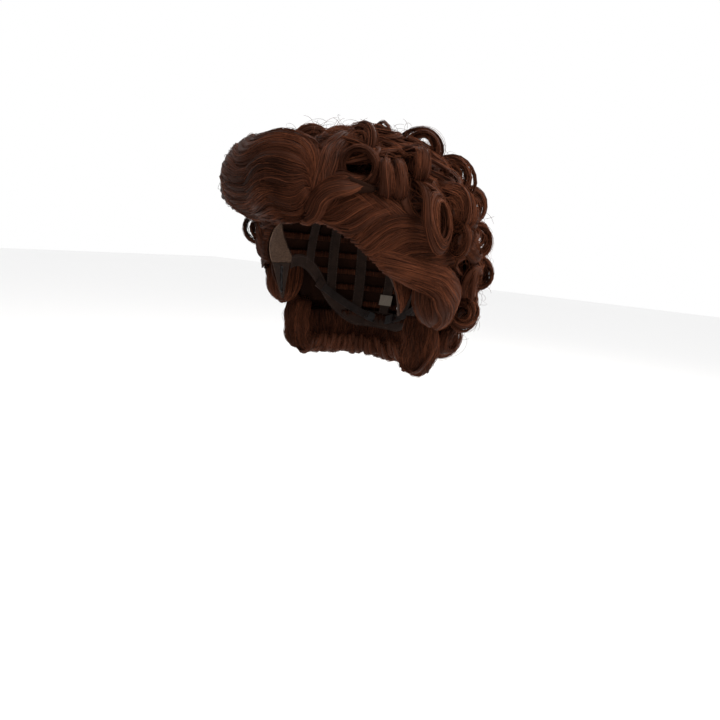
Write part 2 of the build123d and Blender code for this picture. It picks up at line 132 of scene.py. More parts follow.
# ---- strands ---------------------------------------------------------------------------------
class Hair:
    """Collects strands, then makes them one mesh of thin closed tubes round an inner mass, the core.

    In the bake map each strand has a cell of its own, and the core takes the strip above the cells."""

    def __init__(self):
        self.groups = []
        self.core = np.zeros((0, 3)), np.zeros((0, 4), int)

    def add(self, lines, up, wide, high, tone, sides=3):
        """Tubes along lines (number, steps, 3), with half sizes across and along their up direction."""
        shape = lines.shape[:2]
        self.groups.append((lines, np.broadcast_to(up, lines.shape), np.broadcast_to(wide, shape),
                            np.broadcast_to(high, shape), np.broadcast_to(tone, shape[:1]), sides))

    def build(self, name, material, core_material=None):
        total = sum(len(group[0]) for group in self.groups)
        columns = max(4, int(math.sqrt(total / 6)))
        core_verts, core_faces = self.core
        rows = -(-total // columns) * (1.25 if len(core_verts) else 1)
        verts, loops, sizes, uvs, tones, alongs = [], [], [], [], [], []
        first, cell = 0, 0
        for lines, up, wide, high, tone, sides in self.groups:
            n, k = lines.shape[:2]
            tangent = unit(np.gradient(lines, axis=1))
            side = unit(np.cross(tangent, up))
            out = np.cross(side, tangent)
            ring = 2 * math.pi * (np.arange(sides) / sides + 0.25)
            offset = np.cos(ring)[:, None] * (side * wide[..., None])[:, :, None]
            offset = offset + np.sin(ring)[:, None] * (out * high[..., None])[:, :, None]
            verts.append((lines[:, :, None] + offset).reshape(-1, 3))
            at = first + np.arange(n * k * sides).reshape(n, k, sides)
            after = np.roll(at, -1, axis=2)
            loops.append(np.stack([at[:, :-1], after[:, :-1], after[:, 1:], at[:, 1:]], -1).ravel())
            loops.append(np.concatenate([at[:, 0, ::-1], at[:, -1]]).ravel())
            sizes += [np.full(n * (k - 1) * sides, 4), np.full(2 * n, sides)]
            here = cell + np.arange(n)
            along = np.linspace(0, 1, k)
            u = (here % columns)[:, None] / columns + (0.08 + 0.84 * along) / columns
            v = (here // columns)[:, None] / rows + (0.15 + 0.7 * np.arange(sides + 1) / sides) / rows
            grid = np.stack(np.broadcast_arrays(u[:, :, None], v[:, None, :]), -1)
            corners = [grid[:, :-1, :-1], grid[:, :-1, 1:], grid[:, 1:, 1:], grid[:, 1:, :-1]]
            uvs.append(np.stack(corners, 3).reshape(-1, 2))
            uvs.append(np.concatenate([grid[:, 0, sides - 1::-1], grid[:, -1, :sides]]).reshape(-1, 2))
            tones.append(np.repeat(tone, k * sides))
            alongs.append(np.tile(np.repeat(along, sides), n))
            first += n * k * sides
            cell += n
        if len(core_verts):
            around = np.degrees(np.arctan2(core_verts[:, 0], core_verts[:, 1])) / 360 + 0.5
            height = np.interp(core_verts[:, 2], [-110, 140], [0.81, 0.99])
            verts.append(core_verts)
            loops.append((first + core_faces).ravel())
            sizes.append(np.full(len(core_faces), 4))
            uvs.append(np.stack([around, height], -1)[core_faces].reshape(-1, 2))
            # The core takes a low tone: painted shade inside the hair mass.
            tones.append(np.full(len(core_verts), 0.1))
            alongs.append(np.full(len(core_verts), 0.2))
        verts, loops, sizes = np.concatenate(verts), np.concatenate(loops), np.concatenate(sizes)
        mesh = bpy.data.meshes.new(name)
        mesh.vertices.add(len(verts))
        mesh.vertices.foreach_set("co", (verts * MM).ravel())
        mesh.loops.add(len(loops))
        mesh.loops.foreach_set("vertex_index", loops.astype(np.int32))
        mesh.polygons.add(len(sizes))
        mesh.polygons.foreach_set("loop_start", np.r_[0, np.cumsum(sizes)[:-1]].astype(np.int32))
        uv = mesh.uv_layers.new(name="OFBake")
        uv.data.foreach_set("uv", np.concatenate(uvs).astype(np.float32).ravel())
        for label, values in (("tone", np.concatenate(tones)), ("along", np.concatenate(alongs))):
            layer = mesh.attributes.new(label, "FLOAT", "POINT")
            layer.data.foreach_set("value", values.astype(np.float32))
        mesh.materials.append(material)
        if len(core_verts):
            mesh.materials.append(core_material)
            slots = np.zeros(len(sizes), np.int32)
            slots[-len(core_faces):] = 1
            mesh.polygons.foreach_set("material_index", slots)
        mesh.update(calc_edges=True)
        mesh.shade_smooth()
        piece = bpy.data.objects.new(name, mesh)
        bpy.context.collection.objects.link(piece)
        return piece


def under_mass(node, inset, reshape=None):
    """The matted hair inside a CAD hair solid: its shape drawn in by the inset, slightly uneven."""
    copy = bpy.data.objects.new("under_mass_work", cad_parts[node].data.copy())
    bpy.context.collection.objects.link(copy)
    remesh = copy.modifiers.new("remesh", "REMESH")
    remesh.mode, remesh.voxel_size = "VOXEL", VOXEL * MM
    made = copy.evaluated_get(bpy.context.evaluated_depsgraph_get()).to_mesh()
    verts = np.zeros(len(made.vertices) * 3)
    normals = np.zeros(len(made.vertices) * 3)
    made.vertices.foreach_get("co", verts)
    made.vertices.foreach_get("normal", normals)
    faces = np.zeros(len(made.loops), np.int32)
    made.loops.foreach_get("vertex_index", faces)
    verts, normals = verts.reshape(-1, 3) / MM, normals.reshape(-1, 3)
    bpy.data.objects.remove(copy)
    uneven = 0.6 * np.sin(verts[:, 0] * 0.9) * np.sin(verts[:, 1] * 0.7 + verts[:, 2] * 0.25)
    verts = verts - normals * (inset + uneven)[:, None]
    return (reshape(verts) if reshape else verts), faces.reshape(-1, 4).astype(int)


def lock(hair, path, face, width, thick, count, rng, root=0.55, tip=0.3, gather=0.6, stray=0.5,
         wave=0.0, waves=3.0, tone=0.5):
    """One lock: strands beside each other along a path, drawn together towards the tip.

    The face is the outward direction, and wave a sideways ripple shared by the whole lock. A dark
    flat tube inside the lock keeps anything from showing through it; it is dark as painted shade
    between the strands, at half the lock's tone."""
    t = np.linspace(0, 1, len(path))
    tangent = unit(np.gradient(path, axis=0))
    side = unit(np.cross(tangent, face))
    up = np.cross(side, tangent)
    ripple = wave * ease(t * 2) * np.sin(2 * math.pi * waves * t + rng.uniform(0, 6.3))
    path = path + ripple[:, None] * side + 0.5 * np.roll(ripple, 2)[:, None] * up
    spread = np.interp(t, [0, 0.22, 0.7, 1], [root, 1, 1, tip])
    a, b = jitter(rng, 1, count), jitter(rng, 1, count)
    centres = np.sort(rng.uniform(-1, 1, max(3, count // 10)))
    own = centres[np.abs(a[:, None] - centres).argmin(1)]
    across = a[:, None] + (own - a)[:, None] * gather * t**1.3
    dome = 1 - across**2
    deep = b[:, None] * (0.35 + 0.65 * dome) + 0.5 * dome
    freq = rng.uniform(0.6, 2.8, (4, count, 1))
    phase = rng.uniform(0, 6.3, (4, count, 1))
    wild = rng.uniform(0, 1, (count, 1)) > 0.93
    loose = stray * np.minimum(t * 3, 1) * (1 + 4.2 * wild * t)
    sway = [np.sin(freq[i] * 6.3 * t + phase[i]) * loose for i in range(4)]
    sideways = across * width / 2 * spread + sway[0] + 0.5 * sway[1]
    outward = deep * thick / 2 * spread + 0.7 * sway[2] + 0.3 * sway[3]
    lines = path + sideways[..., None] * side + outward[..., None] * up
    lead = 1 - 0.06 * rng.uniform(0, 1, (count, 1)) * t
    lines = lines[:, :1] + (lines - lines[:, :1]) * lead[..., None]
    thin = np.where(wild, 0.6, 1) * rng.uniform(0.75, 1.25, (count, 1))
    radii = STRAND * thin * np.interp(t, [0, 0.1, 0.8, 1], [0.7, 1, 0.95, 0.35])
    # Strands nearer the inside of the lock (lower b) get a lower tone: painted shade of the lock's depth.
    shade = tone + 0.13 * b + 0.10 * rng.standard_normal(count) + 0.16 * (own - own.mean())
    hair.add(lines, up[None], radii, radii, np.clip(shade, 0.02, 1))
    # The inner tube at half the lock's tone: a dark sheet of painted shade between the strands.
    middle = path + (0.12 * thick * spread)[:, None] * up
    wide, high = 0.40 * width * spread, 0.26 * thick * spread + 0.2
    hair.add(middle[None], up[None], wide, high, 0.5 * tone, sides=8)


def comb(hair, points, faces, steps, width, thick, count, rng, **look):
    """A lock along the smooth line through a few points, with the outward directions there."""
    lock(hair, smooth(points, steps), unit(smooth(faces, steps)), width, thick, count, rng, **look)


def ringlet(hair, root, root_out, centre, axis, reach, size, width, rng, turns=1.3, start=-1.6, spin=1,
            stretch=1.1, tuck=0.45, drift=0.3, cone=0.4, count=80, tone=0.5, steps=30, stray=0.8):
    """A lock that leaves the hair mass at its root and winds into an open curl round an axis.

    Reach is the direction in which the curl is longest. Cone is how far its wall leans from a
    straight tube towards a flat ring."""
    axis = unit(np.asarray(axis, float))
    long_way = unit(reach - axis * np.dot(reach, axis))
    short_way = np.cross(axis, long_way) * spin
    wind = np.linspace(0, 1, 30)
    angle = start + 2 * math.pi * turns * wind
    radius = size * (1 - tuck * wind**1.3)
    hub = centre + ((wind - 0.5) * drift * width)[:, None] * axis
    spiral = hub + (radius * np.cos(angle) * stretch)[:, None] * long_way
    spiral = spiral + (radius * np.sin(angle))[:, None] * short_way
    face = unit(unit(spiral - hub) * math.cos(cone) + axis * math.sin(cone))
    heading = unit(spiral[1] - spiral[0])
    gap = np.linalg.norm(spiral[0] - root)
    away = unit(unit(spiral[0] - root) + 0.7 * root_out)
    lead = bezier(root, root + away * gap * 0.35, spiral[0] - heading * gap * 0.45, spiral[0], 10)[:-1]
    share = np.linspace(0, 1, 9)[:, None]
    turning = unit(root_out * (1 - share) + face[0] * share)
    both = even(np.hstack([np.vstack([lead, spiral]), np.vstack([turning, face])]), steps)
    lock(hair, both[:, :3], unit(both[:, 3:]), width, 0.24 * size, count, rng, root=0.8, tip=0.4, gather=0.5,
         stray=stray, wave=0.5, waves=3, tone=tone)


def flyaways(hair, turns, rises, lifts, number, rng):
    """Single loose hairs that stand off the wig in thin arcs and hooks."""
    turn, rise = rng.uniform(*turns, number), rng.uniform(*rises, number)
    centre, normal = on_mound(turn, rise, rng.uniform(*lifts, number))
    along = unit(rng.normal(size=(number, 3)))
    along = unit(along - (along * normal).sum(1, keepdims=True) * normal)
    size = rng.uniform(7, 16, (number, 1, 1))
    angle = rng.uniform(0, 6.3, (number, 1)) + np.linspace(0, 1, 16) * rng.uniform(1.6, 3.8, (number, 1))
    shrink = np.linspace(1, 0.55, 16)[:, None] * size
    lines = centre[:, None] + along[:, None] * np.cos(angle)[..., None] * shrink * 1.5
    lines = lines + normal[:, None] * np.sin(angle)[..., None] * shrink * 0.8
    lines = lines + np.cross(normal, along)[:, None] * (np.linspace(-4, 4, 16)[:, None])
    thin = np.interp(np.linspace(0, 1, 16), [0, 0.2, 1], [0.12, 0.17, 0.06])
    hair.add(lines, normal[:, None], thin, thin, rng.uniform(0.35, 0.75, number))


# ---- materials -------------------------------------------------------------------------------
def new_material(name, roughness, **sockets):
    material = bpy.data.materials.new(name)
    material.use_nodes = True
    shader = material.node_tree.nodes["Principled BSDF"]
    shader.inputs["Roughness"].default_value = roughness
    for socket, value in sockets.items():
        shader.inputs[socket.replace("_", " ")].default_value = value
    return material, material.node_tree, shader


def ramp(tree, source, stops):
    node = tree.nodes.new("ShaderNodeValToRGB")
    tree.links.new(source, node.inputs["Fac"])
    elements = node.color_ramp.elements
    while len(elements) < len(stops):
        elements.new(0.5)
    for element, (place, colour) in zip(elements, stops):
        element.position = place
        element.color = (*colour, 1)
    return node.outputs["Color"]


def math_node(tree, operation, first, second=0.0):
    node = tree.nodes.new("ShaderNodeMath")
    node.operation = operation
    for socket, value in zip(node.inputs, (first, second)):
        if isinstance(value, (int, float)):
            socket.default_value = value
        else:
            tree.links.new(value, socket)
    return node.outputs[0]


def centred(tree, source, middle, size):
    """A signal moved so that it swings about zero, and scaled."""
    return math_node(tree, "MULTIPLY", math_node(tree, "SUBTRACT", source, middle), size)


def object_place(tree, squash=None):
    """Object coordinates; with squash, a pattern on them is drawn out along Z."""
    place = tree.nodes.new("ShaderNodeTexCoord").outputs["Object"]
    if squash is None:
        return place
    stretched = tree.nodes.new("ShaderNodeMapping")
    stretched.inputs["Scale"].default_value = (1, 1, squash)
    tree.links.new(place, stretched.inputs["Vector"])
    return stretched.outputs["Vector"]


def noise(tree, scale, detail=3.0, squash=None):
    node = tree.nodes.new("ShaderNodeTexNoise")
    node.inputs["Scale"].default_value = scale
    node.inputs["Detail"].default_value = detail
    tree.links.new(object_place(tree, squash), node.inputs["Vector"])
    return node.outputs["Fac"]


def bump(tree, shader, height, distance):
    node = tree.nodes.new("ShaderNodeBump")
    node.inputs["Distance"].default_value = distance
    tree.links.new(height, node.inputs["Height"])
    tree.links.new(node.outputs["Normal"], shader.inputs["Normal"])


def hair_material(name, dark, middle, light, roughness, specular):
    """Auburn fibre: each strand has its own tone, darker at its root, with slow streaks over it."""
    material, tree, shader = new_material(name, roughness, Specular_IOR_Level=specular)
    shader.inputs["Specular Tint"].default_value = (1.0, 0.55, 0.38, 1)
    stored = {}
    for label in ("tone", "along"):
        node = tree.nodes.new("ShaderNodeAttribute")
        node.attribute_name = label
        stored[label] = node.outputs["Fac"]
    streak = centred(tree, noise(tree, 30), 0.5, 0.6)
    root_to_tip = centred(tree, stored["along"], 0.35, 0.2)
    level = math_node(tree, "ADD", stored["tone"], math_node(tree, "ADD", streak, root_to_tip))
    colour = ramp(tree, level, [(0.05, dark), (0.5, middle), (1.0, light)])
    tree.links.new(colour, shader.inputs["Base Color"])
    return material, tree, shader


def make_hair_materials():
    auburn, _, _ = hair_material("auburn_hair", (0.009, 0.0032, 0.002), (0.052, 0.0165, 0.0085),
                                 (0.17, 0.055, 0.026), 0.55, 0.06)
    # The under hair's colours are darker than the strands': painted shade of the mass deep in the hair, with
    # its bump on top.
    under, tree, shader = hair_material("under_hair_painted_shade", (0.010, 0.004, 0.0025), (0.022, 0.0075, 0.0045),
                                        (0.05, 0.016, 0.009), 0.85, 0.08)
    bump(tree, shader, noise(tree, 900, 2, squash=0.12), 0.6 * MM)
    return auburn, under


AUBURN, UNDER_SHADE = make_hair_materials()


def finish_hair(hair, name, nodes, body="cap"):
    piece = hair.build(name, AUBURN, UNDER_SHADE)
    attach(piece, body)
    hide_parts(*nodes)


# ---- set curls -------------------------------------------------------------------------------
# Height on the mound and first and last turn in degrees, number, radius and lift: the CAD's rows.
CURL_ROWS = {
    "curl_row_1": (58.0, 0.0, 330.0, 12, 16.0, 4.0),
    "curl_row_2": (43.0, 66.0, 288.0, 11, 16.5, 6.5),
    "curl_row_3": (28.0, 62.0, 284.0, 13, 16.5, 8.0),
    "curl_row_4": (13.0, 80.0, 280.0, 13, 16.0, 7.0),
    "curl_row_5": (-2.0, 102.0, 258.0, 11, 15.5, 7.0),
    "curl_row_6": (-17.0, 104.0, 248.0, 10, 15.5, 7.0),
    "curl_row_7": (-32.0, 108.0, 244.0, 8, 15.0, 5.0),
}
TOP_CURL, TOP_RING, TOP_LIFT = 14.5, 74.0, -5
# The locks of a set curl and of the long open loop: width, share of the curl's size, strands.
CURL_LOCKS = ((12, 1.0, 42), (9, 0.86, 30), (8, 0.68, 24), (6, 0.52, 16), (5, 1.1, 14))
LOOP_LOCKS = ((12, 1.0, 76), (10, 0.84, 50), (7, 1.12, 30), (7, 0.68, 26), (9, 0.92, 40))
NARROW = {"width": 6, "tone": 0.42, "count": 20, "wander": 13}      # wavy locks between the curls


def set_curl(hair, rise, turn, radius, lift, mouth_out, rng):
    """One set curl of a row: locks wound together, their mouth outward or else along the row."""
    centre, normal = on_mound(turn, rise, lift + (13 if mouth_out else radius - 1))
    along = bearing(turn + 90)
    down = np.cross(normal, along)
    down = down if down[2] < 0 or rise > 85 else -down
    tilt = jitter(rng, 0.5, 2)
    hand = rng.choice([-1, 1])
    if mouth_out:
        axis = unit(normal + tilt[0] * along + (tilt[1] - 0.1) * down)
        spin, start, cone = hand, rng.uniform(-2.0, -1.2), rng.uniform(0.25, 0.8)
    else:
        axis = unit(hand * (along + 0.8 * tilt[0] * normal + 0.8 * tilt[1] * down))
        spin = -1 if np.dot(np.cross(axis, down), normal) > 0 else 1
        start, cone = rng.uniform(-3.0, -2.3), rng.uniform(-0.1, 0.25)
    reach = down + jitter(rng, 0.5) * along
    slip = jitter(rng, 11)
    root, root_out = on_mound(turn + slip, min(rise + rng.uniform(11, 17), 89), lift * 0.5 + 2)
    centre = centre + jitter(rng, 2.2, 3)
    tone = rng.uniform(0.36, 0.6)
    long = rng.uniform(1.0, 1.35)
    for width, share, count in CURL_LOCKS:
        nudge = jitter(rng, 2.2, 3) * (2 - share)
        ringlet(hair, root + jitter(rng, 3, 3), root_out, centre + nudge,
                axis + jitter(rng, 0.22, 3), reach,
                radius * share * rng.uniform(0.88, 1.06), width * rng.uniform(0.85, 1.15), rng,
                turns=rng.uniform(0.95, 1.7), start=start + jitter(rng, 0.5), spin=spin,
                stretch=long, tuck=rng.uniform(0.25, 0.6), cone=cone, count=count,
                tone=tone + jitter(rng, 0.08), steps=26, stray=rng.uniform(0.8, 1.7))


def long_loop(hair, turn, rise, lift, rng):
    """The long open loop behind the temple: locks that hang, turn and come up again."""
    centre, normal = on_mound(turn, rise, lift + 16)
    root, root_out = on_mound(turn - 6, rise + 21, 9)
    along = bearing(turn + 90)
    down = np.cross(along, normal)
    down = down if down[2] < 0 else -down
    for width, share, count in LOOP_LOCKS:
        axis = normal + 0.15 * along + jitter(rng, 0.12, 3)
        ringlet(hair, root + jitter(rng, 2, 3), root_out, centre + jitter(rng, 1.5, 3), axis,
                down, 15 * share, width, rng, turns=rng.uniform(0.95, 1.2), start=-1.9,
                spin=rng.choice([1, 1, -1]), stretch=1.7, tuck=0.15, cone=0.6, count=count,
                tone=0.48 + jitter(rng, 0.06), steps=34)


def sunk(name, turn, rise):
    """How far a curl is let down into the mass: at the front of the top row and at the far temple."""
    if name == "curl_row_1" and not 60 < turn < 300:
        return 5
    return 7 if turn > 275 and rise < 50 else 0


def make_curls():
    rng = np.random.default_rng(41)
    top = Hair()
    set_curl(top, 89.9, 0, TOP_CURL, TOP_LIFT, True, rng)
    for step in range(6):
        set_curl(top, TOP_RING, 60 * step, TOP_CURL, TOP_LIFT, step % 2 == 0, rng)
    cover(top, (-180, 180), (62, 88), 24, rng, length=46, lift=(12, 18), **NARROW)
    flyaways(top, (-180, 180), (60, 88), (12, 22), 90, rng)
    finish_hair(top, "curls_top_hair", ["curls_top"])
    for row, (name, (rise, first, last, count, radius, lift)) in enumerate(CURL_ROWS.items()):
        hair = Hair()
        for index in range(count):
            turn = first + (last - first) * index / (count - 1)
            if (name, index) == ("curl_row_3", 0):
                long_loop(hair, turn + 6, rise - 8, lift, rng)
                continue
            here, there = rise + jitter(rng, 2.5), turn + jitter(rng, 2.5)
            mouth_out = (index + row) % 2 == 0
            set_curl(hair, here, there, radius, lift - sunk(name, turn, rise), mouth_out, rng)
        cover(hair, (first + 9, last - 9), (rise - 8, rise + 8), 3 * count, rng, length=48,
              lift=(lift + 6, lift + 17), **NARROW)
        flyaways(hair, (first, last), (rise - 8, rise + 8), (lift + 14, lift + 26), 9 * count, rng)
        finish_hair(hair, name + "_hair", [name])


# ---- crown, back and temples ------------------------------------------------------------------
def cover(hair, turns, rises, number, rng, length=58.0, width=13.0, lift=(0.0, 9.0), tone=0.34, count=26,
          wander=7.5):
    """Wavy locks that lie on the mound between the curls, mostly combed down from the crown."""
    for turn, rise in zip(rng.uniform(*turns, number), rng.uniform(*rises, number)):
        bend = jitter(rng, 30)
        t = np.linspace(-0.5, 0.5, 6)
        fall = np.degrees(length / 118) * t
        wiggle = wander * np.sin(2 * math.pi * (1.2 * t + rng.uniform(0, 1)))
        spread = 1 / max(math.cos(math.radians(rise)), 0.3)
        points, faces = on_mound(turn + (bend * t + wiggle) * spread, rise - fall,
                                 rng.uniform(*lift) + 5.0 * np.cos(math.pi * t) - 3.0)
        comb(hair, points, faces, 14, width * rng.uniform(0.7, 1.25), 5.0, count, rng, wave=1.8,
             waves=2.2, tone=tone + rng.uniform(-0.08, 0.12), tip=0.4, root=0.6, stray=1.1)


def make_back():
    rng = np.random.default_rng(23)
    crown = Hair()
    crown.core = under_mass("base_crown", 3.0)
    cover(crown, (-180, 180), (52, 88), 70, rng)
    cover(crown, (72, 288), (30, 52), 44, rng)
    cover(crown, (46, 74), (30, 50), 16, rng, tone=0.4)
    cover(crown, (-8, 32), (52, 66), 18, rng, lift=(8, 19), tone=0.4)
    for turn in (42.5, 49.5):                      # two rolls beside the open barrel curl
        centre, normal = on_mound(turn + 1, 38.0, 16)
        axis = unit(bearing(turn + 90) + 0.25 * normal)
        root, root_out = on_mound(turn - 2, 55.0, 10)
        for share, width, count in ((1.0, 15, 100), (0.82, 12, 46), (1.06, 6, 24)):
            ringlet(crown, root, root_out, centre, axis, np.cross(axis, normal), 15 * share, width, rng,
                    turns=0.9, start=-2.9, spin=-1, stretch=1.35, tuck=0.2, cone=0.0, count=count,
                    tone=0.38, stray=0.9)
    finish_hair(crown, "base_crown_cover", ["base_crown"])
    for name, upper, lower in (("left", (80, 182), (108, 182)), ("right", (178, 280), (178, 248))):
        hair = Hair()
        hair.core = under_mass(f"base_back_{name}", 3.0)
        cover(hair, upper, (4, 28), 28, rng)
        cover(hair, lower, (-28, 4), 46, rng)
        finish_hair(hair, f"base_back_{name}_cover", [f"base_back_{name}"])


# The hairline's depth and height, from the middle of the brow to the fold of the ear tab.
HAIRLINE = np.array([(-85.5, 50.4), (-81.0, 49.5), (-74.0, 42.0), (-66.0, 32.0), (-56.0, 21.0), (-46.0, 12.0),
                     (-38.0, 8.0)])


def hairline(share, side, lift=2.5):
    """The point at this share of the way along the hairline, from the middle of the brow to the ear."""
    place = np.asarray(share, float) * (len(HAIRLINE) - 1)
    depth = np.interp(place, range(len(HAIRLINE)), HAIRLINE[:, 0])
    height = np.interp(place, range(len(HAIRLINE)), HAIRLINE[:, 1])
    return beside_head(depth, height, side, lift)


def temple_root(share, side):
    """Where a lock leaves the hairline: the point, its outward direction and its turn."""
    root, out = hairline(share, side, 2.6)
    return root, out, side * math.degrees(math.atan2(root[0], -root[1]))


def make_temples():
    """Hair swept back from the hairline in long waves, over the temples."""
    for side, name in SIDES:
        rng = np.random.default_rng(7 + side)
        hair = Hair()
        hair.core = under_mass(f"temple_hair_{name}", 3.5)
        for share in np.linspace(0.04, 1.0, 27):
            for layer in range(2):
                begin = np.clip(share + jitter(rng, 0.02), 0.02, 1)
                root, out, turn = temple_root(begin, side)
                reach = vec(9.0, 22, 37, 50) + jitter(rng, 2)
                swell = 5.5 * math.sin(share * 2.6 + 0.4)
                rise = (root[2] - 12) * 0.50 + vec(6.0, 11.5, 8.0, -1.0) * (1 - 0.3 * share)
                rise = rise + swell * 0.3
                ripple = 2.6 * np.sin(vec(0.0, 1.7, 3.4, 5.1) + share * 4.0)
                lift = vec(1.0, 4.5, 5.0, 0.5) + 1.8 * layer + 1.3 * math.sin(share * 16)
                points, faces = on_mound(side * (turn + reach), rise + ripple, lift + jitter(rng, 0.6))
                start = np.vstack([root, root + 4 * out + side * 3 * bearing(turn * side + 90)])
                comb(hair, np.vstack([start, points]), np.vstack([out, out, faces]), 22,
                     rng.uniform(8, 12), 4.5, 50, rng, root=0.75, wave=0.8, waves=1.8,
                     tone=0.47 + jitter(rng, 0.12), gather=0.5, stray=0.45)
        for share in np.linspace(0.03, 0.24, 12):    # the upper sweep, under the swoop and the pompadour
            root, out, turn = temple_root(share, side)
            reach = vec(8.0, 20, 34, 48, 60) + jitter(rng, 2)
            rise = vec(25.0, 32, 37, 38, 33) - 40 * share + jitter(rng, 1.5)
            lift = vec(3.0, 5, 6, 6, 2) + rng.uniform(-1, 2)
            points, faces = on_mound(side * (turn + reach), rise, lift)
            comb(hair, np.vstack([root, root + 5 * out, points]), np.vstack([out, out, faces]), 24,
                 rng.uniform(9, 13), 5.0, 56, rng, root=0.5, tip=0.35, wave=1.0, waves=1.8,
                 tone=0.44 + rng.uniform(-0.12, 0.1), gather=0.5, stray=0.6)
        finish_hair(hair, f"temple_hair_{name}_sweep", [f"temple_hair_{name}"])


# ---- front -----------------------------------------------------------------------------------
ROLL_RING, ROLL_HEIGHT, ROLL = 100.0, 86.0, 34.0     # the pompadour's ring, as in the CAD
ROLL_TAPER = ((-58, -42, -20), (3.0, 1.5, 0.0))      # turns, and how much smaller and lower it is there
WAVE_RING, WAVE_HEIGHT = 92.0, 82.0
FAR_END, NEAR_END = -58.0, 0.0                       # turns where the pompadour's ends start to round off


def pompadour(turn):
    """The pompadour's roll radius and ring height at a turn: smaller towards the temple, rounded ends."""
    taper = np.interp(turn, *ROLL_TAPER)
    far = np.clip((FAR_END - turn) / 19, 0, 0.97)
    near = np.clip((turn - NEAR_END) / 12, 0, 0.9)
    return (ROLL - taper) * np.sqrt(1 - far**2) * np.sqrt(1 - near**2), ROLL_HEIGHT - taper


def roll_point(turn, angle, share, stand=0.0):
    """A point on the pompadour; the angle is 0 in front, -90 below and 90 on top."""
    turn = np.asarray(turn, float)
    radius, height = pompadour(turn)
    out = bearing(turn)
    level = np.radians(np.asarray(angle, float))
    face = out * np.cos(level)[..., None] + UP * np.sin(level)[..., None]
    middle = out * ROLL_RING + height[..., None] * UP
    return middle + face * (np.asarray(share) * radius + stand)[..., None], face


def round_pompadour(verts):
    """Draw the ends of a pompadour lock's inner mass in, to the rounded form."""
    turn = np.degrees(np.arctan2(verts[:, 0], -verts[:, 1]))
    radius, height = pompadour(turn)
    full = ROLL - np.interp(turn, *ROLL_TAPER)
    middle = bearing(turn) * ROLL_RING + height[:, None] * UP
    return middle + (verts - middle) * (radius / full)[:, None]


def make_pompadour():
    """Hair combed from the parting low across the brow, round the far end and back over the roll."""
    rng = np.random.default_rng(3)
    sweep, top, near = Hair(), Hair(), Hair()
    for hair, node in ((sweep, "front_roll_1"), (top, "front_roll_2"), (near, "front_roll_3")):
        hair.core = under_mass(node, 7.0, round_pompadour)
    # The pompadour's tones, here and in the locks below, are set low: partly the hair's own colour, partly
    # painted shade of this front side, where the light falls off.
    for low in np.linspace(-125, 22, 30):
        for layer in range(2):
            low_here = low + jitter(rng, 4)
            far = np.interp(low_here, [-125, -60, 22], [-74.0, -70.0, -50.0]) + jitter(rng, 2)
            turn = np.array([6.0, -4, 0.33 * far, 0.60 * far, 0.86 * far, far, far + 3, far + 12, far + 26])
            lift = 3.5 * math.sin(low * 0.11 + 1)
            angle = np.array([low_here * 0.55, low_here, low_here + 1, low_here + 5, low_here + 16,
                              0.5 * low_here + 40, 82, 122, 158]) + lift
            share = 0.93 + 0.035 * np.sin(np.arange(9) * 1.4 + low * 0.09) + 0.03 * layer
            share[0] = 0.8
            points, faces = roll_point(turn, angle, share)
            comb(sweep, points, faces, 36, rng.uniform(9, 13), 5.0, 38, rng, root=0.45, tip=0.5,
                 wave=0.7, waves=2.2, tone=0.31 + jitter(rng, 0.12), gather=0.5, stray=0.55)
    for index in range(40):                          # over the top, from the front back to the crown
        begin = -66 + 66 * (index + rng.uniform(0, 1)) / 40
        t = np.linspace(0, 1, 7)
        angle = rng.uniform(72, 96) + 90 * t
        turn = begin + 14 * t + 5 * np.sin(t * 6.3 + begin * 0.12)
        turn, angle = np.minimum(turn, 6), np.minimum(angle, 172)
        points, faces = roll_point(turn, angle, 0.95, 1.0 + 2.0 * np.sin(t * 5))
        comb(top, points, faces, 22, rng.uniform(11, 16), 5.5, 40, rng, root=0.5, tip=0.5, wave=1.2,
             waves=2.0, tone=0.35 + jitter(rng, 0.12), gather=0.5, stray=0.7)
    flyaways(top, (-50, 10), (50, 68), (16, 26), 30, rng)
    flyaways(near, (-62, 4), (30, 54), (28, 34), 24, rng)
    root, out = hairline(0.03, 1, 3)
    for level in np.linspace(-108, 128, 27):         # waves that fan from the parting over the near end
        for layer in range(2):
            here = level + jitter(rng, 5)
            reach = 1 + 0.35 * math.sin(math.radians(here))
            turn = vec(9.5, 6, -4, -15, -27, -38, -48) + np.r_[0, 0, jitter(rng, 2, 5)]
            swell = (9 + 5 * layer) * np.sin(vec(0.0, 0.6, 2.4, 4.3, 6.2, 8.1, 10) + here * 0.016)
            share = vec(0.55, 0.97, 1, 1, 1, 1, 0.96) + 0.03 * layer
            stand = vec(0.0, 1, 2.4, 0.8, 2.4, 0.8, 0) * reach
            points, faces = roll_point(turn, np.clip(here + swell, -125, 150), share, stand)
            away = unit(faces[0] * 0.4 + bearing(90.0))
            comb(near, np.vstack([root, root + 6 * out, points]),
                 np.vstack([out, away, 0.3 * faces[0] + away, faces[1:]]), 36, rng.uniform(10, 14), 5.5, 48,
                 rng, root=0.3, tip=0.35, wave=0.8, waves=2.0, tone=0.31 + rng.uniform(-0.13, 0.12),
                 gather=0.5, stray=0.6)
    finish_hair(sweep, "front_roll_sweep", ["front_roll_1"])
    finish_hair(top, "front_roll_top", ["front_roll_2"])
    finish_hair(near, "front_roll_waves", ["front_roll_3"])


def taper_wave(verts):
    """Draw the ends of the left front wave's inner mass in to a point."""
    turn = np.degrees(np.arctan2(verts[:, 0], -verts[:, 1]))
    middle = bearing(turn) * WAVE_RING + WAVE_HEIGHT * UP
    return middle + (verts - middle) * np.interp(turn, [5, 14, 30, 46], [0.3, 0.6, 0.5, 0.1])[:, None]


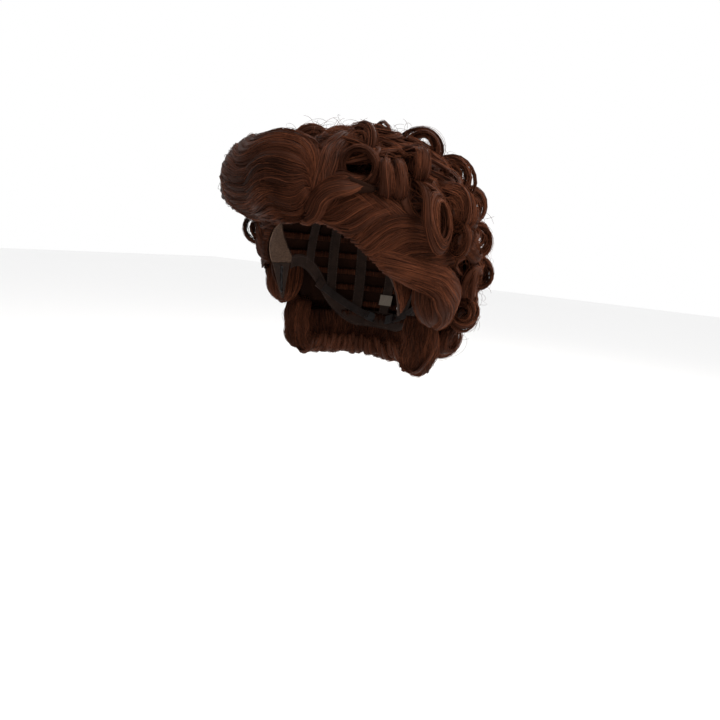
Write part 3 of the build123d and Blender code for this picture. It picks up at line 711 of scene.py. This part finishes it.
def make_front_left():
    """The swoop from the parting and the open barrel curl behind it."""
    rng = np.random.default_rng(12)
    hair = Hair()
    hair.core = under_mass("front_wave_left", 7.0, taper_wave)
    root, out = hairline(0.05, 1, 3)
    # The swoop's tones, and those of the hair behind it, are set low: partly the hair's own colour, partly
    # painted shade of this front side, where the light falls off.
    for lift, width, count, drop in ((0.0, 27, 170, 0.0), (2.5, 21, 90, 1.5), (-2.0, 21, 80, -3.0)):
        points, faces = on_mound(vec(10.5, 13.0, 17.0, 22, 28, 35),
                                 vec(19.5, 24.0, 27.5, 30, 32, 36.5) - drop,
                                 vec(15.0, 20, 23, 22, 18, 12) + lift)
        path = smooth(np.vstack([root, root + 7 * out, points]), 30)
        face = unit(smooth(np.vstack([out, out, faces]), 30) + 0.15 * UP)
        lock(hair, path, face, width, 7.0, count, rng, root=0.3, tip=0.08, wave=0.3, tone=0.34, gather=0.25,
             stray=0.35)
    for index in range(9):                           # hair that rises behind the swoop to the crown
        share = index / 15
        begin, out = hairline(0.03 + 0.06 * share, 1, 3)
        for lift in (0, 9 * (1 - share)) if index < 6 else (0,):
            points, faces = on_mound(vec(9.0, 9, 9, 12, 14) + 18 * share,
                                     vec(26.0, 36, 46, 58, 70),
                                     vec(12.0, 18, 18, 13, 4) - 5 * share + lift)
            comb(hair, np.vstack([begin, points]), np.vstack([out, faces]), 24, 12, 5, 44, rng, root=0.4,
                 tip=0.5, wave=1.2, tone=0.33 + rng.uniform(-0.06, 0.1), stray=0.7)
    finish_hair(hair, "front_wave_left_hair", ["front_wave_left"])

    barrel = Hair()
    centre, _ = on_mound(29.0, 40.5, 17.0)
    beside, beside_out = on_mound(36.0, 54.0, 6)
    axis, reach = bearing(24.0, 8.0), vec(0.2, 0, -1)
    # The barrel curl's tone is set low too: partly the hair's own colour, partly painted shade of this front
    # side.
    for size, width, count, turns in ((18.5, 17, 120, 1.45), (17.0, 12, 60, 1.25), (15.5, 14, 50, 1.1)):
        ringlet(barrel, beside, beside_out, centre, axis, reach, size, width, rng, turns=turns, start=-1.9,
                tuck=0.2, drift=0.5, cone=0.12, stretch=1.04, count=count, tone=0.35, steps=36, stray=0.45)
    finish_hair(barrel, "front_barrel_curl_hair", ["front_barrel_curl"])


# ---- sides and nape --------------------------------------------------------------------------
EAR_ROLLS = {                                        # centre and half sizes, as in the CAD
    "left": (vec(104.0, -1.0, -9.0), vec(18.0, 31.0, 32.0)),
    "right": (vec(-90.0, 11.0, -10.0), vec(12.0, 27.0, 30.0)),
}
EAR_GAP = 11.0                                       # room for the ear and its tab
FAN_END = {"left": 1.0, "right": 0.84}               # how far along the hairline an ear's fan reaches


def ear_point(name, side, around, level, stand):
    """A point on an ear roll, clear of the ear: around is 90 behind, and level 90 on top."""
    around, level = np.radians(around), np.radians(level)
    centre, half = EAR_ROLLS[name]
    flat = np.cos(level)
    aim = np.stack([side * np.cos(around) * flat, np.sin(around) * flat, np.sin(level) + 0 * around], -1)
    normal = unit(aim / half)
    point = centre + half * aim + normal * stand
    reach = np.linalg.norm(point / (HEAD + EAR_GAP), axis=-1, keepdims=True)
    return point / np.minimum(reach, 1), normal


def make_ear_rolls():
    """A smooth roll over each ear: hair fans off the temple, drops and turns under."""
    for side, name in SIDES:
        rng = np.random.default_rng(60 + side)
        hair = Hair()
        hair.core = under_mass(f"ear_roll_{name}", 5.0)
        for around in np.linspace(20, 340, 30):      # all round, under the fan
            t = np.linspace(0, 1, 6)
            points, faces = ear_point(name, side, around + 30 * (t - 0.4), 70 - 150 * t,
                                      rng.uniform(-2.5, -0.5))
            comb(hair, points, faces, 16, 13, 4.5, 34, rng, root=0.4, tip=0.35, wave=0.5, waves=1.5,
                 tone=0.36 + jitter(rng, 0.08))
        for share in np.linspace(0.50, FAN_END[name], 24):       # the fan over the outside
            for layer in range(2):
                begin, out = hairline(share, side, 3)
                high = (1.0 - share) / 0.5
                back = -20 + 92 * high**0.8 + jitter(rng, 7)
                around = -60 + (back + 60) * vec(0.08, 0.4, 0.75, 1.0, 1.0, 0.8)
                level = vec(6.0, -10, -26, -44, -60, -74) + high * vec(48, 50, 38, 14, 2, 0)
                stand = -0.5 + 2.2 * layer + rng.uniform(-0.6, 0.8)
                points, faces = ear_point(name, side, around, level, stand)
                bridge = 0.5 * begin + 0.5 * points[0] + out * 5
                comb(hair, np.vstack([begin, bridge, points]), np.vstack([out, out, faces]), 28,
                     rng.uniform(8, 12), 4.0, 44, rng, root=0.6, wave=0.6, waves=1.5,
                     tone=0.47 + jitter(rng, 0.12), gather=0.5)
        finish_hair(hair, f"ear_roll_{name}_hair", [f"ear_roll_{name}"])


NAPE_SECTORS = (("left", 96, 150), ("centre", 150, 210), ("right", 210, 264))
NAPE_RADIUS = vec(84.0, 92, 96, 92, 80, 68, 62)     # down the outside, under, and up the inside
NAPE_HEIGHT = vec(-36.0, -46, -62, -80, -95, -92, -76)


def nape_point(turn, radius, height):
    out = bearing(turn)
    return MOUND_CENTRE * (1, 1, 0) + out * radius[..., None] + height[..., None] * UP, out


def nape_lock(hair, turn, radius, height, rng, tone, face=None):
    points, out = nape_point(turn, radius, height)
    if face is None:
        across = unit(np.cross(UP, out))
        face = np.cross(unit(np.gradient(points, axis=0)), across)
        face = face * np.sign((face * out).sum(1)[:1])[:, None]
    comb(hair, points, face, 18, rng.uniform(8, 12), 5, 34, rng, root=0.8, tip=0.4, wave=1.2, waves=1.8,
         tone=tone + rng.uniform(-0.08, 0.1), stray=0.8)


def make_nape():
    """Hair that falls to the nape and tucks under towards the neck."""
    rng = np.random.default_rng(90)
    for name, first, last in NAPE_SECTORS:
        hair = Hair()
        hair.core = under_mass(f"nape_hair_{name}", 5.0)
        for layer, number in ((0, 22), (1, 18)):
            for turn in np.linspace(first, last, number) + jitter(rng, 1.5, number):
                sway = turn + vec(0, 1.2, 0.4, -1.5, -1, 0, 0) * jitter(rng, 2.5)
                nape_lock(hair, sway, NAPE_RADIUS - 5 * (1 - layer) + rng.uniform(-2.5, 2.0),
                          NAPE_HEIGHT + rng.uniform(-3, 5), rng, 0.38)
        # The inside locks take a lower tone than the outside ones: painted shade next to the neck.
        for turn in np.linspace(first, last, 14):    # the inside, next to the neck
            nape_lock(hair, turn + jitter(rng, 2, 5), vec(66.0, 65, 64, 62, 61),
                      vec(-46.0, -58, -70, -82, -92), rng, 0.26, -bearing(turn + np.zeros(5)))
        edge = {"left": (first, -1), "right": (last, 1)}.get(name)
        if edge:                                     # the two ends beside the ears
            turn, hand = edge
            for radius in np.linspace(66, 94, 9):
                swing = turn + hand * vec(0.0, 2.2, 2.6, 1.5, -1)
                nape_lock(hair, swing, vec(1.0, 1, 1, 0.98, 0.95) * radius,
                          np.array([-36.0, -50, -66, -82, -96 + 0.1 * (radius - 66)]), rng, 0.34,
                          bearing(turn + hand * 90 + np.zeros(5)))
        flyaways(hair, (first, last), (-46, -38), (4, 12), 16, rng)
        finish_hair(hair, f"nape_hair_{name}_hair", [f"nape_hair_{name}"])


def make_tab_hair():
    """The wisps of each sideburn, on the ear tab."""
    for side, name in SIDES:
        rng = np.random.default_rng(70 + side)
        hair = Hair()
        for share in np.linspace(0, 1, 12):
            depth = np.array([-34 + 30 * share, -28 + 24 * share, -20 + 12 * share, -14 + 3 * share])
            height = vec(4.0, -7, -19, -30) + 5 * (abs(share - 0.5) * 2)
            points, normals = beside_head(depth, height, side, vec(1.8, 2.6, 2.4, 1.8))
            comb(hair, points, normals, 12, 8, 1.6, 40, rng, root=0.8, wave=0.3, tone=0.42, stray=0.3)
        finish_hair(hair, f"tab_hair_{name}_hair", [f"tab_hair_{name}"], body=f"ear_tab_{name}")


# ---- cap -------------------------------------------------------------------------------------
CAP_RADIUS = 85.0                                    # mean radius of the cap, for the pitch of a weave
CROWN_RIM = 58.0                                     # height of the crown net's lower edge
NET_PITCH = 4.2
STITCH_PITCH, STITCH_LENGTH = 3.2, 2.1
# Side-view outlines of the cap's bands, as depth and height: the CAD's.
BAND_INNER = ((-95, 112), (-64.5, 80), (-44, 55), (-20, 33), (2, 13))
SIDE_BAND_TOP = ((2, 13), (22, 15), (42, 4), (58, -22), (72, -44))
SIDE_BAND_BOTTOM = ((2, -1), (22, 1), (40, -13), (56, -42), (72, -62))
RIB_TURNS = tuple(180 + 22 * step for step in range(-3, 4))
RIB_HALF = 5.0                                       # from a rib's middle line to its seams
RIB_BOTTOM = {0: -44, 22: -44, 44: -20, 66: 6}       # how low a rib goes, by its turn from the back


def weave_material(name, dark, light, across, up, roughness, depth):
    """Cloth with threads round the head and up it, at the given pitches in millimetres."""
    material, tree, shader = new_material(name, roughness, Specular_IOR_Level=0.1, Sheen_Weight=0.03,
                                          Sheen_Roughness=0.5)
    axes = tree.nodes.new("ShaderNodeSeparateXYZ")
    tree.links.new(object_place(tree), axes.inputs[0])
    around = math_node(tree, "ARCTAN2", axes.outputs["X"], axes.outputs["Y"])
    warp = math_node(tree, "SINE", math_node(tree, "MULTIPLY", around, 2 * math.pi * CAP_RADIUS / across))
    weft = math_node(tree, "SINE", math_node(tree, "MULTIPLY", axes.outputs["Z"], 2 * math.pi / (up * MM)))
    woven = math_node(tree, "MULTIPLY", math_node(tree, "MULTIPLY", warp, weft), 0.35)
    over = math_node(tree, "ADD", woven, 0.5)
    worn = centred(tree, noise(tree, 120), 0.5, 0.7)
    tree.links.new(ramp(tree, math_node(tree, "ADD", over, worn), [(0.1, dark), (0.9, light)]),
                   shader.inputs["Base Color"])
    bump(tree, shader, over, depth * MM)
    return material


def lace_material():
    """Fine lace: a net of small cells with paler threads."""
    material, tree, shader = new_material("front_lace", 0.75, Specular_IOR_Level=0.1, Sheen_Weight=0.03)
    cells = tree.nodes.new("ShaderNodeTexVoronoi")
    cells.feature = "DISTANCE_TO_EDGE"
    cells.inputs["Scale"].default_value = 520
    tree.links.new(object_place(tree), cells.inputs["Vector"])
    thread = ramp(tree, cells.outputs["Distance"], [(0.06, (1, 1, 1)), (0.2, (0, 0, 0))])
    worn = math_node(tree, "MULTIPLY", noise(tree, 90), 0.35)
    colour = ramp(tree, math_node(tree, "ADD", math_node(tree, "MULTIPLY", thread, 0.65), worn),
                  [(0.1, (0.030, 0.017, 0.011)), (0.9, (0.17, 0.10, 0.066))])
    tree.links.new(colour, shader.inputs["Base Color"])
    bump(tree, shader, thread, 0.25 * MM)
    return material


def hard_material(name, dark, light, roughness, metallic, scale):
    """Moulded plastic or spring steel, with fine drag marks and rubbed places."""
    material, tree, shader = new_material(name, roughness, Metallic=metallic)
    marks = noise(tree, scale, 4, squash=0.1)
    tree.links.new(ramp(tree, marks, [(0.3, dark), (0.75, light)]), shader.inputs["Base Color"])
    rubbed = math_node(tree, "ADD", math_node(tree, "MULTIPLY", marks, 0.25), roughness - 0.12)
    tree.links.new(rubbed, shader.inputs["Roughness"])
    bump(tree, shader, marks, 0.05 * MM)
    return material


def dress_cap_nodes():
    """Give each CAD piece of the cap its own cloth, steel or plastic."""
    tape = weave_material("rib_tape", (0.006, 0.0035, 0.0025), (0.034, 0.019, 0.014), 0.9, 0.7, 0.85, 0.2)
    band = weave_material("band_cotton", (0.008, 0.0045, 0.0035), (0.042, 0.024, 0.018), 1.1, 1.1, 0.85, 0.2)
    elastic = weave_material("ribbed_elastic", (0.005, 0.0035, 0.003), (0.032, 0.022, 0.019), 2.2, 0.5,
                             0.7, 0.3)
    felt = weave_material("tab_cloth", (0.012, 0.0065, 0.005), (0.055, 0.031, 0.022), 0.8, 0.8, 0.85, 0.2)
    satin = weave_material("label_satin", (0.13, 0.105, 0.085), (0.22, 0.185, 0.15), 0.5, 0.4, 0.5, 0.05)
    steel = hard_material("stay_steel", (0.25, 0.25, 0.26), (0.5, 0.5, 0.52), 0.35, 1.0, 1500)
    plastic = hard_material("hook_plastic", (0.010, 0.009, 0.009), (0.03, 0.027, 0.026), 0.38, 0.0, 900)
    wear = {"front_band": lace_material(), "nape_band": band, "rib_centre": tape, "size_label": satin}
    for _, name in SIDES:
        wear |= {f"side_band_{name}": band, f"ear_tab_{name}": felt, f"ear_stay_{name}": steel,
                 f"adjuster_strap_{name}": elastic, f"strap_hook_{name}": plastic,
                 f"strap_anchor_{name}": band, f"loop_tape_{name}": tape}
        wear |= {f"rib_{name}_{number}": tape for number in (1, 2, 3)}
    for node, material in wear.items():
        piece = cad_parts[node]
        if piece.material_slots:
            piece.material_slots[0].material = material
        else:
            piece.data.materials.append(material)


def make_net():
    """The crown net: thin threads crossing in a diamond mesh over the top of the cap."""
    net = Hair()
    corner = math.sqrt(0.5)
    run = np.linspace(-110, 110, 240)
    for hand in (1, -1):
        for offset in np.arange(-96, 97, NET_PITCH):
            x = corner * (run - hand * offset)
            y = corner * (hand * run + offset)
            spare = 1 - (x / HEAD[0]) ** 2 - (y / HEAD[1]) ** 2
            height = HEAD[2] * np.sqrt(np.maximum(spare, 0))
            front = np.interp(height, [55, 80, 112], [-44, -64.5, -95])
            inside = np.flatnonzero((spare > 0) & (height > CROWN_RIM + 0.5) & (y > front))
            if len(inside) < 4:
                continue
            point = even(np.stack([x, y, height], 1)[inside[0]:inside[-1] + 1], 26)
            normal = unit(point / HEAD**2)
            net.add((point + 0.45 * normal)[None], normal[None], 0.30, 0.30, vec(0.3))
    material = weave_material("net_thread", (0.008, 0.006, 0.005), (0.045, 0.030, 0.024), 0.6, 0.6, 0.7, 0.1)
    piece = net.build("crown_net_mesh", material)
    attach(piece, "cap")
    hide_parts("crown_net")


def make_wefts():
    """Each weft row: a narrow sewn band with hair folded over it, close together."""
    rng = np.random.default_rng(31)
    for number in range(1, 10):
        low, high = (np.array(corner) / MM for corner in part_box(f"weft_row_{number}"))
        flat = math.sqrt(1 - (low[2] / HEAD[2]) ** 2)
        begin = math.degrees(math.acos(np.clip(-(low[1] + 2) / (HEAD[1] * flat), -1, 1)))
        bottom, top = low[2], high[2]
        hair = Hair()
        turns = np.linspace(begin, 360 - begin, 90)
        band, normal = on_head(turns, np.full(90, (bottom + top) / 2), 1.5)
        hair.add(band[None], normal[None], 3.1, 0.35, vec(0.12), sides=8)
        for share in (0.2, 0.5, 0.8):                # the machine stitching
            thread, normal = on_head(turns, np.full(90, bottom + share * (top - bottom)), 1.05)
            hair.add(thread[None], normal[None], 0.22, 0.22, vec(0.05))
        count = int((360 - 2 * begin) * 1.05)
        turn = np.linspace(begin, 360 - begin, count)[:, None] + rng.uniform(-0.25, 0.25, (count, 1))
        height = bottom + vec(0.3, 3.2, 6.3, 6.8, 3.0) + rng.uniform(-0.5, 0.3, (count, 1))
        lift = vec(1.0, 0.95, 1.1, 2.0, 2.6)
        lean = vec(0.0, 0.15, 0.3, 0.3, 0.1) * rng.uniform(-2, 2, (count, 1))
        lines, normals = on_head(turn + lean, height, lift)
        hair.add(lines, normals, 0.26, 0.26, np.clip(0.4 + 0.15 * rng.standard_normal(count), 0, 1))
        piece = hair.build(f"weft_row_{number}_fringe", AUBURN)
        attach(piece, "cap")
        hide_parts(f"weft_row_{number}")


def stitch_line(hair, points, normals):
    """Running stitches on the inside of the cap."""
    span = np.linalg.norm(np.diff(points, axis=0), axis=1).sum()
    number = max(int(span / STITCH_PITCH), 1)
    fine = even(np.hstack([points, normals]), number * 16 + 1)
    along = np.linspace(0, 16 * STITCH_LENGTH / STITCH_PITCH, 3).astype(int)
    pick = np.arange(number)[:, None] * 16 + along
    line, normal = fine[pick][..., :3], unit(fine[pick][..., 3:])
    lift = vec(0.12, -0.12, 0.12)[:, None]
    hair.add(line + normal * lift, normal, 0.20, 0.20, np.full(number, 0.5))


def turn_on_head(turn):
    """The turn that on_head takes for a true turn round the vertical axis."""
    turn = np.radians(turn)
    return np.degrees(np.arctan2(HEAD[1] * np.sin(turn), HEAD[0] * np.cos(turn))) % 360


def make_stitching():
    """The seams that hold the bands, tapes and lace together."""
    sewing = Hair()
    for side, _ in SIDES:
        seams = ((BAND_INNER[1:], 1.8, 0), (SIDE_BAND_TOP, -2.0, 1), (SIDE_BAND_BOTTOM, 2.0, 1),
                 (HAIRLINE[1:], 2.2, 1))
        for outline, aside, axis in seams:
            at = smooth(np.asarray(outline, float), 60) if len(outline) > 2 else np.asarray(outline, float)
            at = at + np.array([aside, 0] if axis == 0 else [0, aside])
            inside = (at[:, 0] / HEAD[1]) ** 2 + (at[:, 1] / HEAD[2]) ** 2 < 0.99
            stitch_line(sewing, *beside_head(at[inside, 0], at[inside, 1], side))
    for height in (-60.0, -46.0):                    # the nape band's edges
        stitch_line(sewing, *on_head(np.linspace(152, 208, 60), np.full(60, height)))
    for turn in RIB_TURNS:
        heights = np.linspace(RIB_BOTTOM[abs(turn - 180)], CROWN_RIM, 50)
        middle, _ = on_head(turn_on_head(np.full(50, float(turn))), heights)
        aside = np.degrees(RIB_HALF / np.linalg.norm(middle[:, :2], axis=1))
        for hand in (-1, 1):
            stitch_line(sewing, *on_head(turn_on_head(turn + hand * aside), heights))
    thread = weave_material("sewing_thread", (0.02, 0.014, 0.012), (0.10, 0.07, 0.055), 0.5, 0.5, 0.6, 0.05)
    piece = sewing.build("cap_stitching", thread)
    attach(piece, "cap")


def make_cap():
    dress_cap_nodes()
    make_net()
    make_wefts()
    make_stitching()


# ---- scene -----------------------------------------------------------------------------------
def make_camera():
    """The photograph's view: a little round to the wearer's left, near, and rolled a few degrees."""
    azimuth, elevation, roll, distance = 32.0, 3.0, 5.0, 660.0
    focal = 0.8611                                # focal length as a part of the picture's width
    aside, above = -0.01806, 0.11806              # where the head's centre falls, off the middle
    data = bpy.data.cameras.new("camera")
    data.sensor_width = 36
    data.lens = focal * 36
    data.clip_start, data.clip_end = 0.01, 50
    camera = bpy.data.objects.new("camera", data)
    bpy.context.collection.objects.link(camera)
    back = Vector(bearing(azimuth, elevation))
    right = Vector((-back.y, back.x, 0)).normalized()
    up = back.cross(right)
    straight = Matrix((right, up, back)).transposed()
    aim = Vector((aside, above, -focal)).normalized().rotation_difference(Vector((0, 0, -1))).to_matrix()
    turned = straight @ Matrix.Rotation(math.radians(roll), 3, "Z") @ aim
    camera.matrix_world = Matrix.Translation(back * distance * MM) @ turned.to_4x4()
    bpy.context.scene.camera = camera


def make_light(name, energy, size, azimuth, elevation, distance, colour=(1, 1, 1)):
    data = bpy.data.lights.new(name, "AREA")
    data.energy, data.size, data.color = energy, size, colour
    light = bpy.data.objects.new(name, data)
    bpy.context.collection.objects.link(light)
    back = Vector(bearing(azimuth, elevation))
    light.location = back * distance
    light.rotation_mode = "QUATERNION"
    light.rotation_quaternion = back.to_track_quat("Z", "Y")


def make_stage():
    floor_height, reach, warm = -0.34, 6.0, (1, 0.95, 0.90)
    mesh = bpy.data.meshes.new("floor")
    corners = [(x * reach, y * reach, floor_height) for x, y in ((-1, -1), (1, -1), (1, 1), (-1, 1))]
    mesh.from_pydata(corners, [], [(0, 1, 2, 3)])
    material, _, shader = new_material("floor_paint", 0.8, Specular_IOR_Level=0.1)
    shader.inputs["Base Color"].default_value = (0.90, 0.90, 0.90, 1)
    mesh.materials.append(material)
    floor = bpy.data.objects.new("floor", mesh)
    bpy.context.collection.objects.link(floor)
    world = bpy.data.worlds.new("studio")
    bpy.context.scene.world = world
    world.use_nodes = True
    world.node_tree.nodes["Background"].inputs["Color"].default_value = (1.0, 1.0, 1.0, 1)
    world.node_tree.nodes["Background"].inputs["Strength"].default_value = 1.0
    make_light("key", 19, 0.8, 90, 42, 1.3, warm)
    make_light("fill", 0.8, 1.2, -20, 25, 1.6)
    make_light("rim", 9, 0.8, 170, 50, 1.4, warm)


make_camera()
make_stage()
make_curls()
make_temples()
make_back()
make_pompadour()
make_front_left()
make_ear_rolls()
make_nape()
make_tab_hair()
make_cap()
bpy.context.scene.view_settings.view_transform = "Standard"
